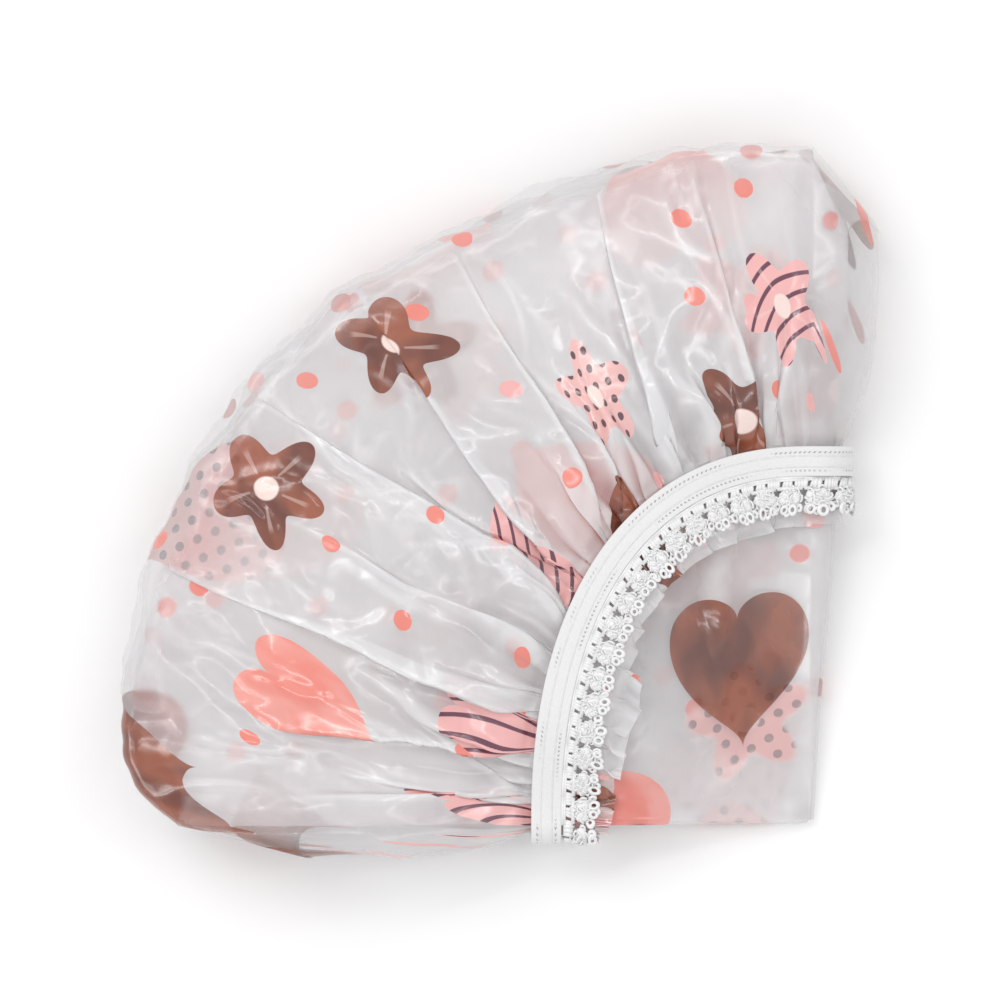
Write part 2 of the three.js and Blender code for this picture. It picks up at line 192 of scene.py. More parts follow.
def on_band(way, inset, level):
    """A place on the elastic: the way round it, the inset from its outer edge, the level on the film."""
    spots = Spots.at(way)
    inset, level = np.broadcast_to(inset, spots.share.shape), np.broadcast_to(level, spots.share.shape)
    probe = 1 / 196
    ahead, behind = np.minimum(spots.share + probe, 1), np.maximum(spots.share - probe, 0)
    tangent = mouth_plan(ahead) - mouth_plan(behind)
    tangent /= np.linalg.norm(tangent, axis=-1, keepdims=True)
    tangent[spots.share == 0] = (0, 1)
    tangent[spots.share == 1] = (1, 0)
    plan = mouth_plan(spots.share)
    x, y = plan[..., 0] + inset * tangent[..., 1], plan[..., 1] - inset * tangent[..., 0]
    share = np.clip(np.arctan2(y, -x) / QUARTER, 0, 1)
    place = spots.moved(share)
    film_level = place.outer(mouth_radius(share)) - BAND_HEIGHT
    return place.folded(np.hypot(x, y), film_level + level)


class Round:
    """The way round the mouth by its length, measured on the inner edge of the tape."""

    def __init__(self, samples=4001):
        self.way = np.linspace(0, len(LEGS), samples)
        points = on_band(self.way, TAPE_WIDTH, 0.0)
        self.length = running(np.linalg.norm(np.diff(points, axis=0), axis=-1))
        self.total = self.length[-1]

    def at(self, distance):
        return np.interp(np.mod(distance, self.total), self.length, self.way)


ring = Round()

# Camera

camera_data = bpy.data.cameras.new("camera")
camera_data.sensor_width = 36
camera_data.lens = 270
camera_data.clip_end = 20
camera = bpy.data.objects.new("camera", camera_data)
bpy.context.collection.objects.link(camera)
camera.location = (0, 0, 1.512)
bpy.context.scene.camera = camera


# Shader maths

def add_node(tree, kind, settings, values):
    """A node with its settings, and a socket or a constant on each of the given inputs."""
    node = tree.nodes.new(kind)
    for key, value in settings.items():
        setattr(node, key, value)
    for key, value in values.items() if isinstance(values, dict) else enumerate(values):
        if isinstance(value, Sock):
            tree.links.new(value.socket, node.inputs[key])
        else:
            node.inputs[key].default_value = value
    return node


def operator(name):
    """A method that takes a socket and another value through one maths node."""
    return lambda self, other: self.maths(name, other)


class Sock:
    """A shader socket that takes part in Python sums."""

    def __init__(self, tree, socket):
        self.tree, self.socket = tree, socket

    def maths(self, operation, *values):
        node = add_node(self.tree, "ShaderNodeMath", {"operation": operation}, (self, *values))
        return Sock(self.tree, node.outputs[0])

    __add__ = __radd__ = operator("ADD")
    __sub__ = operator("SUBTRACT")
    __mul__ = __rmul__ = operator("MULTIPLY")
    __truediv__, __pow__ = operator("DIVIDE"), operator("POWER")
    __gt__, __lt__ = operator("GREATER_THAN"), operator("LESS_THAN")

    def __rsub__(self, other):
        return (self * -1) + other

    def sine(self):
        return self.maths("SINE")

    def size(self):
        return self.maths("ABSOLUTE")

    def between(self, low, high):
        """0 below low, 1 above high, smooth in between."""
        settings = {"interpolation_type": "SMOOTHSTEP"}
        node = add_node(self.tree, "ShaderNodeMapRange", settings, (self, low, high))
        return Sock(self.tree, node.outputs[0])


class Paint:
    """A material and its nodes."""

    def __init__(self, name, **constants):
        self.material = bpy.data.materials.new(name)
        self.material.use_nodes = True
        self.tree = self.material.node_tree
        self.surface = self.tree.nodes["Principled BSDF"]
        for socket, value in constants.items():
            self.surface.inputs[socket.replace("_", " ")].default_value = value

    def node(self, kind, settings=None, values=(), out=0):
        return Sock(self.tree, add_node(self.tree, kind, settings or {}, values).outputs[out])

    def here(self):
        """Object coordinates."""
        return self.node("ShaderNodeTexCoord", out=3)

    def map(self, name):
        return self.node("ShaderNodeUVMap", {"uv_map": name})

    def number(self, name):
        """A number of each point of the mesh."""
        return self.node("ShaderNodeAttribute", {"attribute_name": name}, out=2)

    def vector(self, operation, *values):
        return self.node("ShaderNodeVectorMath", {"operation": operation}, values)

    def scaled(self, place, size):
        return self.node("ShaderNodeVectorMath", {"operation": "SCALE"}, {0: place, "Scale": size})

    def rotated(self, place, angle):
        values = {"Vector": place, "Angle": angle}
        return self.node("ShaderNodeVectorRotate", {"rotation_type": "Z_AXIS"}, values)

    def in_cell(self, grid):
        """The place in its cell, from the cell's middle."""
        return self.vector("SUBTRACT", self.vector("FRACTION", grid), (0.5, 0.5, 0))

    def mix(self, part, low, high):
        low, high = ((*colour, 1) if isinstance(colour, tuple) else colour for colour in (low, high))
        return self.node("ShaderNodeMix", {"data_type": "RGBA"}, {0: part, 6: low, 7: high}, 2)

    def noise(self, place, scale, detail=2.0, roughness=0.5):
        values = {"Vector": place, "Scale": scale, "Detail": detail, "Roughness": roughness}
        return self.node("ShaderNodeTexNoise", {}, values)

    def split(self, place):
        node = add_node(self.tree, "ShaderNodeSeparateXYZ", {}, (place,))
        return [Sock(self.tree, out) for out in node.outputs]

    def join(self, x, y, z=0.0):
        return self.node("ShaderNodeCombineXYZ", {}, (x, y, z))

    def bump(self, height, strength, distance):
        values = {"Strength": strength, "Distance": distance, "Height": height}
        return self.node("ShaderNodeBump", {}, values)

    def set(self, **sockets):
        for name, value in sockets.items():
            self.tree.links.new(value.socket, self.surface.inputs[name.replace("_", " ")])
        return self.material


def away_from(x, y):
    """The distance from (0, 0)."""
    return (x * x + y * y).maths("SQRT")


# Colours, as light reflects

CORAL, LIGHT_CORAL = (0.86, 0.24, 0.19), (0.9, 0.36, 0.31)
BROWN, LIGHT_BROWN = (0.13, 0.024, 0.01), (0.34, 0.088, 0.038)
PLUM, DARK_PLUM = (0.13, 0.025, 0.06), (0.12, 0.05, 0.07)
PINK, STRIPED_PINK, SPOTTED_PINK = (0.88, 0.43, 0.42), (0.89, 0.46, 0.45), (0.87, 0.5, 0.48)
VEIN_PINK, MIDDLE_PINK, RED_BELOW = (0.95, 0.72, 0.66), (0.93, 0.74, 0.68), (0.72, 0.1, 0.08)
FILM_CLOUD, FILM_CLEAR = (0.9, 0.895, 0.91), (0.965, 0.962, 0.968)
# the pinhole colour is the painted shade inside the holes of the knit
TAPE_WHITE, TAPE_BACK_WHITE, PINHOLE_SHADE = (0.83, 0.83, 0.83), (0.88, 0.88, 0.87), (0.42, 0.4, 0.4)
THREAD_WHITE, LACE_WHITE = (0.88, 0.88, 0.88), (0.93, 0.93, 0.935)
LATEX_DARK, LATEX_LIGHT = (0.74, 0.66, 0.5), (0.85, 0.79, 0.64)

# The print: lengths in millimetres of flat film, turns in radians

MAP_SIZE = 430
MOTIF_CELL, DOT_CELL = 45, 19
MOTIF_CELL_TURN, DOT_CELL_TURN = 0.95, 0.2
FIRST_CELL = (7, 2, 0)
HEART_SIZE, HEART_LIFT = 13, 0.72
FLOWER_SIZE, PETAL_DEPTH, PETALS = 9.6, 2.6, 5
WHOLE_TURN = 6.283


def print_cells(paint, flat, turn, size):
    """The place within its cell of the print, and four chances of the cell."""
    grid = paint.scaled(paint.rotated(flat, turn), 1 / size)
    cell = paint.vector("ADD", paint.vector("FLOOR", grid), FIRST_CELL)
    noise = add_node(paint.tree, "ShaderNodeTexWhiteNoise", {"noise_dimensions": "2D"}, {"Vector": cell})
    one, three = (Sock(paint.tree, out) for out in noise.outputs)
    return paint.in_cell(grid), paint.split(three), one


def motif_colour(paint, spun, hue, depth):
    """Satin brown or coral, striped or spotted."""
    x, y, _ = paint.split(spun)
    shine = paint.noise(paint.vector("MULTIPLY", spun, (0.11, 0.06, 0)), 1.0).between(0.36, 0.66)
    brown = paint.mix(shine, BROWN, LIGHT_BROWN)
    coral = paint.mix(shine, CORAL, LIGHT_CORAL)
    stripe = ((x + y * y * 0.02) * 1.75).sine().between(0.62, 0.8) * (1 - depth * 0.6)
    striped = paint.mix(stripe, STRIPED_PINK, PLUM)
    spot_x, spot_y, _ = paint.split(paint.in_cell(paint.scaled(spun, 0.27)))
    spotted = paint.mix(away_from(spot_x, spot_y).between(0.2, 0.27), DARK_PLUM, SPOTTED_PINK)
    colour = paint.mix(hue > 0.33, brown, coral)
    colour = paint.mix(hue > 0.58, colour, striped)
    return paint.mix(hue > 0.8, colour, spotted)


def motifs(paint, flat, depth, soft):
    """Large hearts and flowers, one to a cell, each moved, turned and coloured by chance."""
    local, (kind, hue, reach), turn = print_cells(paint, flat, MOTIF_CELL_TURN, MOTIF_CELL)
    offset = paint.join((kind - 0.5) * 0.3, (hue - 0.5) * 0.3)
    place = paint.scaled(paint.vector("SUBTRACT", local, offset), MOTIF_CELL)
    spun = paint.rotated(place, turn * WHOLE_TURN)
    x, y, _ = paint.split(spun)
    # heart: a circle whose sides are lifted more than its middle
    heart_x = x / HEART_SIZE
    heart_y = (y + 2) / HEART_SIZE - (heart_x.size() ** 0.5) * HEART_LIFT
    heart = (1 - heart_x * heart_x - heart_y * heart_y).between(soft * -0.14, soft * 0.14)
    # flower: round petals
    away = away_from(x, y)
    petal = (y.maths("ARCTAN2", x) * PETALS).maths("COSINE")
    flower = (petal * PETAL_DEPTH + FLOWER_SIZE - away).between(soft * -1.6, soft * 1.6)
    is_heart = kind > 0.46
    mask = (heart * is_heart + flower * (1 - is_heart)) * (reach < 0.86)
    colour = motif_colour(paint, spun, hue, depth)
    vein = petal.between(0.93, 0.98) * away.between(3.2, 3.6) * (1 - away.between(7.6, 9.4))
    colour = paint.mix(vein * (1 - is_heart) * 0.3 * (1 - depth), colour, VEIN_PINK)
    past_middle = (away.between(2.2, 2.7) + is_heart).maths("MINIMUM", 1.0)
    return mask, paint.mix(past_middle, MIDDLE_PINK, colour)


def small_dots(paint, flat, soft):
    """Small dots, one to a cell, where chance leaves them."""
    local, (shift_x, shift_y, chance), tone = print_cells(paint, flat, DOT_CELL_TURN, DOT_CELL)
    place = paint.vector("SUBTRACT", local, paint.join((shift_x - 0.5) * 0.55, (shift_y - 0.5) * 0.55))
    x, y, _ = paint.split(place)
    away = away_from(x, y) * DOT_CELL
    mask = (1 - away.between(1.95 - soft * 0.5, 2.0 + soft * 0.5)) * (chance < 0.6)
    return mask, paint.mix(tone > 0.7, CORAL, PINK)


def film_paint():
    """Frosted film with fine crinkles and a scattered print of hearts, flowers and dots."""
    paint = Paint("frosted_film", IOR=1.5, Specular_IOR_Level=0.9, Coat_Weight=0.7, Coat_Roughness=0.1)
    flat = paint.scaled(paint.map("flat"), MAP_SIZE)
    depth, doubled, here = paint.number("hidden"), paint.number("doubled"), paint.here()
    soft = depth * 0.9 + 0.05
    large, colour = motifs(paint, flat, depth, soft)
    dots, dot_colour = small_dots(paint, flat, soft)
    dots = dots * (1 - large)
    ink = (large + dots).maths("MINIMUM", 1.0)

    # prints under another layer lose their light and colour, so they are laid on stronger
    printed = paint.mix(depth * 0.24, paint.mix(dots, colour, dot_colour), RED_BELOW)
    darker = paint.join(1 - depth * 0.08, 1 - depth * 0.2, 1 - depth * 0.2)
    printed = paint.vector("MULTIPLY", printed, darker)
    film = paint.mix(paint.noise(here, 46.0).between(0.36, 0.64), FILM_CLOUD, FILM_CLEAR)
    # lower layers carry a blush of all the print that lies under them
    film = paint.vector("MULTIPLY", film, paint.join(1.0, 1 - depth * 0.04, 1 - depth * 0.025))
    # film that lies twice over on the crests of the gathers is denser than single film between them,
    # and its colour is scaled too: lighter on crests, lap and crease lines and crown ridges, a painted
    # highlight, and darker between the gathers, in the mouth and towards the rim, a painted shade
    film = paint.scaled(film, doubled * 0.11 + 0.89)
    alpha = (ink * 0.5 + doubled * 0.5 + 0.17).maths("MINIMUM", 1.0)

    broad = (paint.noise(here, 42.0, 1.0, 0.4) - 0.5).size().between(0.0, 0.1)
    crinkle = (paint.noise(here, 110.0, 1.0, 0.4) - 0.5).size().between(0.0, 0.14)
    return paint.set(Base_Color=paint.mix(ink, film, printed), Alpha=alpha,
                     Roughness=paint.noise(here, 120.0, 1.0) * 0.08 + 0.16,
                     Normal=paint.bump(broad + crinkle * 0.34, 0.5, 0.0007))


def shaded(tint, share):
    return tuple(channel * share for channel in tint)


def knit_paint(name, tint, stitch):
    """White knit: lengthwise ribs of chained stitches with pinholes between them."""
    paint = Paint(name, Roughness=0.86, Sheen_Weight=0.15)
    u, v, _ = paint.split(paint.map("run"))
    along, across = u * (1 / MM), v * (1 / MM)
    rib = (across * 7.9).sine().size()
    chain = ((along + rib * 0.3) * (WHOLE_TURN / stitch)).sine() * 0.5 + 0.5
    here = paint.here()
    fibre = paint.noise(here, 2600.0, 3.0, 0.6)
    patch = paint.noise(here, 110.0, 1.0).between(0.42, 0.56)
    # two rows of pinholes, near both edges of the face
    row = ((across - 8.4).size() - 1.85).size()
    holes = chain.between(0.6, 0.9) * (1 - row.between(0.1, 0.24)) * patch
    normal = paint.bump(rib * 0.4 + chain * 0.12 + fibre * 0.9 - holes * 2, 0.6, 0.00012)
    plain = paint.mix(fibre.between(0.3, 0.7), shaded(tint, 0.95), tint)
    # the pinholes are painted dark grey: painted shade inside each hole
    return paint.set(Base_Color=paint.mix(holes, plain, PINHOLE_SHADE), Normal=normal)


def floss_paint(name, tint, rough, coat, twist=None):
    """Glossy thread. A twist gives it plies, by the map along its run."""
    paint = Paint(name, Roughness=rough, Coat_Weight=coat, Coat_Roughness=0.18)
    fibre = paint.noise(paint.here(), 2200.0, 2.0, 0.6)
    height = fibre * 0.6
    if twist:
        u, v, _ = paint.split(paint.map("run"))
        height = height + (((u * twist + v) * WHOLE_TURN * 3).sine() * 0.5 + 0.5) * 0.7
    shade = paint.mix(fibre, shaded(tint, 0.9), tint)
    return paint.set(Base_Color=shade, Normal=paint.bump(height, 0.4, 0.00006))


def rubber_paint():
    paint = Paint("latex_strand", Roughness=0.55, Subsurface_Weight=0.1)
    cloud = paint.noise(paint.here(), 700.0, 3.0)
    shade = paint.mix(cloud, LATEX_DARK, LATEX_LIGHT)
    return paint.set(Base_Color=shade, Normal=paint.bump(cloud, 0.2, 0.00005))


# Meshes

def grid_faces(rows, columns, closed_rows=False):
    """Quads of a grid whose points run row by row. The columns always close to a round."""
    down = np.arange(rows if closed_rows else rows - 1)
    row, column = np.meshgrid(down, np.arange(columns), indexing="ij")
    below, beside = (row + 1) % rows, (column + 1) % columns
    return np.stack([row * columns + column, row * columns + beside, below * columns + beside,
                     below * columns + column], -1).reshape(-1, 4)


def unwrapped(index, count):
    """Where a face closes a round, the map goes on to count instead of back to 0."""
    return np.where((index == 0) & (index[:, :1] == count - 1), count, index)


def new_piece(name, points, faces, material, corner_uv=None, uv_name="run", **attributes):
    """A smooth mesh object from points in millimetres."""
    mesh = bpy.data.meshes.new(name)
    mesh.from_pydata((points.reshape(-1, 3) * MM).tolist(), [], [list(face) for face in faces])
    mesh.polygons.foreach_set("use_smooth", [True] * len(mesh.polygons))
    if corner_uv is not None:
        mesh.uv_layers.new(name=uv_name).data.foreach_set("uv", corner_uv.ravel())
    for key, values in attributes.items():
        mesh.attributes.new(key, "FLOAT", "POINT").data.foreach_set("value", values.ravel())
    mesh.materials.append(material)
    mesh.update()
    piece = bpy.data.objects.new(name, mesh)
    bpy.context.collection.objects.link(piece)
    return piece


def settle(piece, node):
    """The piece stands for a CAD node, which is hidden, and rides on the cap."""
    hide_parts(node)
    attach(piece, "root")


# The film

TOP_STEPS, QUARTER_STEPS, BEND_STEPS = 368, 84, 14
OUT_ROWS, IN_ROWS, RIM_ROWS, CROWN_ROWS = 72, 24, 9, 32
SKIRT_ROWS = OUT_ROWS + IN_ROWS
TIP_RADIUS, TAPE_MARGIN, LACE_MARGIN = 0.35, 0.3, 0.6
# The turn that a bend takes on the flat disc, against 1 for a quarter
BEND_TURN = 0.13

# Main folds of the top quarter, as in the frame: share of the quarter at the elastic and at the
# end, length, height, steep side. The last number is how far the film laps over itself there.
MAIN_FOLDS = [
    (0.06, 0.035, 52, 1.4, 1, 3.0), (0.165, 0.1, 58, 1.8, -1, 4.0), (0.25, 0.235, 95, 2.2, -1, 5.5),
    (0.35, 0.34, 62, 1.6, 1, 3.6), (0.45, 0.415, 88, 2.2, 1, 6.0), (0.52, 0.54, 74, 2.0, -1, 5.5),
    (0.625, 0.65, 70, 1.8, 1, 4.4), (0.765, 0.795, 72, 2.0, -1, 5.0), (0.895, 0.89, 60, 1.6, 1, 3.6),
]

# Gathers of a quarter: count, reach, height, lean, seed
MIDDLE_GATHERS = [(22, 30, 1.5, 0.42, 140)]
TOP_GATHERS = MIDDLE_GATHERS + [(41, 21, 1.6, 0.5, 160), (71, 12, 1.0, 0.45, 180)]
LOWER_GATHERS = MIDDLE_GATHERS + [(7, 62, 1.6, 0.18, 100), (15, 40, 1.1, 0.32, 120)]

# Teeth of the loose edge past the lace: count, length, seed. END_TOOTH is the length's share at the
# ends of a quarter, and FLAP_SHARES tell how long teeth are by the share of the quarter.
FLAP_TEETH = [(9, 3.8, 31), (17, 2.3, 37), (41, 0.9, 41)]
END_TOOTH = 0.3
FLAP_SHARES = [(0, 0.5), (0.08, 0.75), (0.22, 1.1), (0.42, 1.0), (0.55, 0.5), (0.75, 0.35), (1, 0.5)]


def pleats(share, distance, arc, count, reach, height, lean, seed):
    """Gathers that start at the elastic and die out: a slow rise and a sharp, leaning fall.

    Returns how far each place moves along the arc, how far it stands up, from 0 to the height, and
    how far the film lies twice over there, from -0.5 between the gathers to 0.5 on their crests; this
    last value also paints the crests lighter, a painted highlight, and the gaps darker, a painted shade.
    """
    wobble = jitter(seed, count + 3, -0.32, 0.32)
    marks = (np.arange(count + 1) + np.concatenate([[0], wobble[1:count], [0]])) / count
    at = np.clip(np.searchsorted(marks, share, side="right") - 1, 0, count - 1)
    inside = (share - marks[at]) / (marks[at + 1] - marks[at])
    own = jitter(seed + 1, count, 0.3, 1.0)[at]
    far = reach * jitter(seed + 2, count, 0.4, 1.3)[at]
    crest = jitter(seed + 3, count, 0.62, 0.84)[at]
    crest = np.where(jitter(seed + 4, count)[at] < 0.4, 1 - crest, crest)
    rise = np.where(inside < crest, inside / crest, (1 - inside) / (1 - crest))
    fade = np.clip(1 - distance / far, 0, 1) ** 0.85
    width = arc * (marks[at + 1] - marks[at])
    side = np.where(crest > 0.5, 1, -1)
    return side * lean * width * own * rise * fade, height * own * rise * fade, (rise - 0.5) * fade * own


def minor_folds(count=24):
    """Shorter laps between the main ones, in the same form."""
    rng = np.random.default_rng(23)
    shares = (np.arange(count) + rng.uniform(0.2, 0.8, count)) / count
    return [(share, share + rng.normal(0, 0.025), rng.uniform(14, 46), rng.uniform(0.5, 1.3),
             rng.choice((-1, 1)), rng.uniform(1.4, 3.4)) for share in shares]


def lapped(share, distance, arc, folds):
    """Folds that rise slowly, then fall back under their own crest, with a thin painted highlight line
    along it.
    """
    shift, lift, painted_highlight_line = np.zeros_like(share), np.zeros_like(share), np.zeros_like(share)
    for near, end, length, height, side, lap in folds:
        run = np.clip(distance / length, 0, 1)
        line = lerp(near, end, run) + 0.003 * np.sin(distance / 9 + near * 40) - side * lap / 2 / arc
        off = (share - line) * arc * side
        width, fall = lerp(0.1, 0.19, run) * length, lerp(1.5, 2.4, run)
        shape = np.where(off < 0, np.clip(1 + off / width, 0, 1) ** 1.3, np.clip(1 - off / fall, 0, 1))
        fade = (1 - run**2) * (distance > -30)
        lift += height * shape * fade * np.sin(QUARTER * np.clip(distance / 12, 0, 1))
        shift += side * lap * shape * fade * lerp(0.3, 1, smooth(-4, 8, distance))
        # a painted highlight: a thin lighter line along each crest
        painted_highlight_line += np.clip(1 - np.abs(off) / 0.8, 0, 1) * np.clip(fade * 2, 0, 1) * (distance > 0)
    return shift, lift, painted_highlight_line


def waves(x, y, seed, count, low, high):
    """Soft undulation from a few crossing waves of low to high millimetres."""
    angle, phase = jitter(seed, count, 0, math.pi), jitter(seed + 1, count, 0, 2 * math.pi)
    length = jitter(seed + 2, count, low, high)
    total = sum(np.sin((x * math.cos(a) + y * math.sin(a)) * 2 * math.pi / n + p)
                for a, p, n in zip(angle, phase, length))
    return total / math.sqrt(count)


def creases(x, y, seed, count):
    """Short sharp ridges, mostly pointing at the folded corner, as film keeps them after folding, each with
    a painted highlight line along it.
    """
    total, painted_highlight_line = np.zeros_like(x), np.zeros_like(x)
    rng = np.random.default_rng(seed)
    for _ in range(count):
        turn, away = rng.uniform(0.02, 0.98) * QUARTER, rng.uniform(74, 134)
        middle = -away * math.cos(turn), away * math.sin(turn)
        aim = turn + rng.normal(0, 0.36)
        along_x, along_y = -math.cos(aim), math.sin(aim)
        # a crease that crosses the rows of the mesh is broader and fainter, so the rows don't break it up
        askew = abs(math.sin(aim - turn))
        half, width = rng.uniform(6, 24), rng.uniform(1.3, 3.6) + 2.5 * askew
        height = rng.uniform(0.2, 0.65)
        dx, dy = x - middle[0], y - middle[1]
        run, off = dx * along_x + dy * along_y, dy * along_x - dx * along_y
        off = off + 0.25 * rng.normal() * run**2 / half
        side = np.where(off > 0, width, width * lerp(rng.uniform(0.4, 1.0), 1, askew))
        fade = np.clip(1 - (run / half) ** 2, 0, 1)
        total += height * np.cos(QUARTER * np.clip(np.abs(off) / side, 0, 1)) ** 2 * fade
        # a painted highlight line along each crease, broader and fainter where it crosses the rows
        broad = 0.7 + 2 * askew + 0.5 * np.abs(run) / half
        bright = rng.uniform(0.2, 1) * max(1 - 1.6 * askew, 0)
        painted_highlight_line += np.clip(1 - np.abs(off) / broad, 0, 1) * fade * bright
    return total, painted_highlight_line


class Columns:
    """The columns of the film's mesh: each quarter and the bend after it, once round the cap."""

    def __init__(self):
        steps = [BEND_STEPS if row[0] == row[1] else TOP_STEPS if row[6] else QUARTER_STEPS for row in LEGS]
        way = np.concatenate([leg + np.arange(count) / count for leg, count in enumerate(steps)])
        self.count = way.size
        self.spots = Spots.at(way)
        self.leg = way.astype(int)
        self.quarter = self.leg % 2 == 0
        share = self.spots.share
        self.mouth = mouth_radius(share)
        # the rim ripples a little, and the lower layers draw back from the top one's edge
        ripple = 0.5 * np.sin(share * 61) + 0.5 * np.sin(share * 37 + self.leg)
        drawn_in = 1.5 + np.sin(share * 19 + self.leg * 2.1) + 0.5 * np.sin(share * 47 + self.leg)
        ripple = 0.7 * ripple - self.spots.by_layer(0, drawn_in)
        self.rim = self.spots.rim() + ripple * self.spots.ramp(0.05)
        self.round_rim = self.spots.outer(self.rim) / 2
        self.shoulder = self.rim - self.round_rim
        self.depth = self.rim - self.mouth


def crown_rows(columns):
    """The crown, from the folded corner out to the rim: radii, heights, and the top quarter's ridges."""
    part = np.linspace(0, 1, CROWN_ROWS)[:, None] ** 0.8
    radius = lerp(TIP_RADIUS, columns.shoulder, part)
    crown = columns.spots.spread(CROWN_ROWS)
    x, y = radius * np.cos(crown.share * QUARTER), radius * np.sin(crown.share * QUARTER)
    broad = waves(x, y, seed=11, count=6, low=12, high=34)
    fine = waves(x + y * 0.3, y * 0.25, seed=17, count=5, low=6, high=14)
    calm = smooth(3, 16, radius) * smooth(0, 9, radius * np.minimum(crown.share, 1 - crown.share))
    height = -0.12 + np.maximum(broad * 0.5 + fine * 0.22 + 0.6, 0) * calm * crown.by_layer(1.5, 0.4)
    ridges = np.maximum(np.sin(x * 0.33 + y * 0.05 + np.sin(y * 0.09)) - 0.45, 0)
    ridges = ridges * smooth(-0.6, 0.6, np.sin(y * 0.13 + x * 0.07)) * calm * crown.top
    return radius, height + 1.4 * ridges, ridges


def rim_rows(columns, dented):
    """The rim, a half round from the crown up to the skirt, with dents that only go inward."""
    turn = np.linspace(0, math.pi, RIM_ROWS + 2)[1:-1, None]
    across = columns.round_rim
    if dented:
        rim = columns.spots.spread(RIM_ROWS)
        beat, leg = rim.share * 2 * math.pi, columns.leg
        dent = np.sin(beat * 13 + 2 * np.sin(beat * 2.3) + leg) - 1.7
        dent += 0.7 * np.sin(beat * 31 + 3 * np.sin(beat * 1.7 + leg))
        across = across + dent * 0.26 * np.sin(turn) * rim.ramp(0.04)
    return columns.shoulder + across * np.sin(turn), columns.round_rim - across * np.cos(turn)


def hem_radius(columns):
    """The raw edge past the lace, in loose teeth of three sizes."""
    flap = np.zeros(columns.count)
    for teeth, size, seed in FLAP_TEETH:
        for quarter in range(4):
            here = columns.leg == 2 * quarter
            marks = np.linspace(0, 1, teeth + 1)
            marks[1:-1] += jitter(seed + quarter, teeth - 1, -0.35, 0.35) / teeth
            tall = np.concatenate([[END_TOOTH], jitter(seed + 5 + quarter, teeth - 1) ** 1.3, [END_TOOTH]])
            flap[here] += size * np.interp(columns.spots.share[here], marks, tall)
    flap *= np.interp(columns.spots.share, *zip(*FLAP_SHARES))
    bend_flap = END_TOOTH * FLAP_SHARES[0][1] * sum(size for _, size, _ in FLAP_TEETH)
    flap = np.where(columns.quarter, flap, bend_flap) * columns.spots.by_layer(1.0, 0.6)
    return columns.mouth - TAPE_WIDTH - LACE_GAP - LACE_WIDTH - LACE_MARGIN - flap


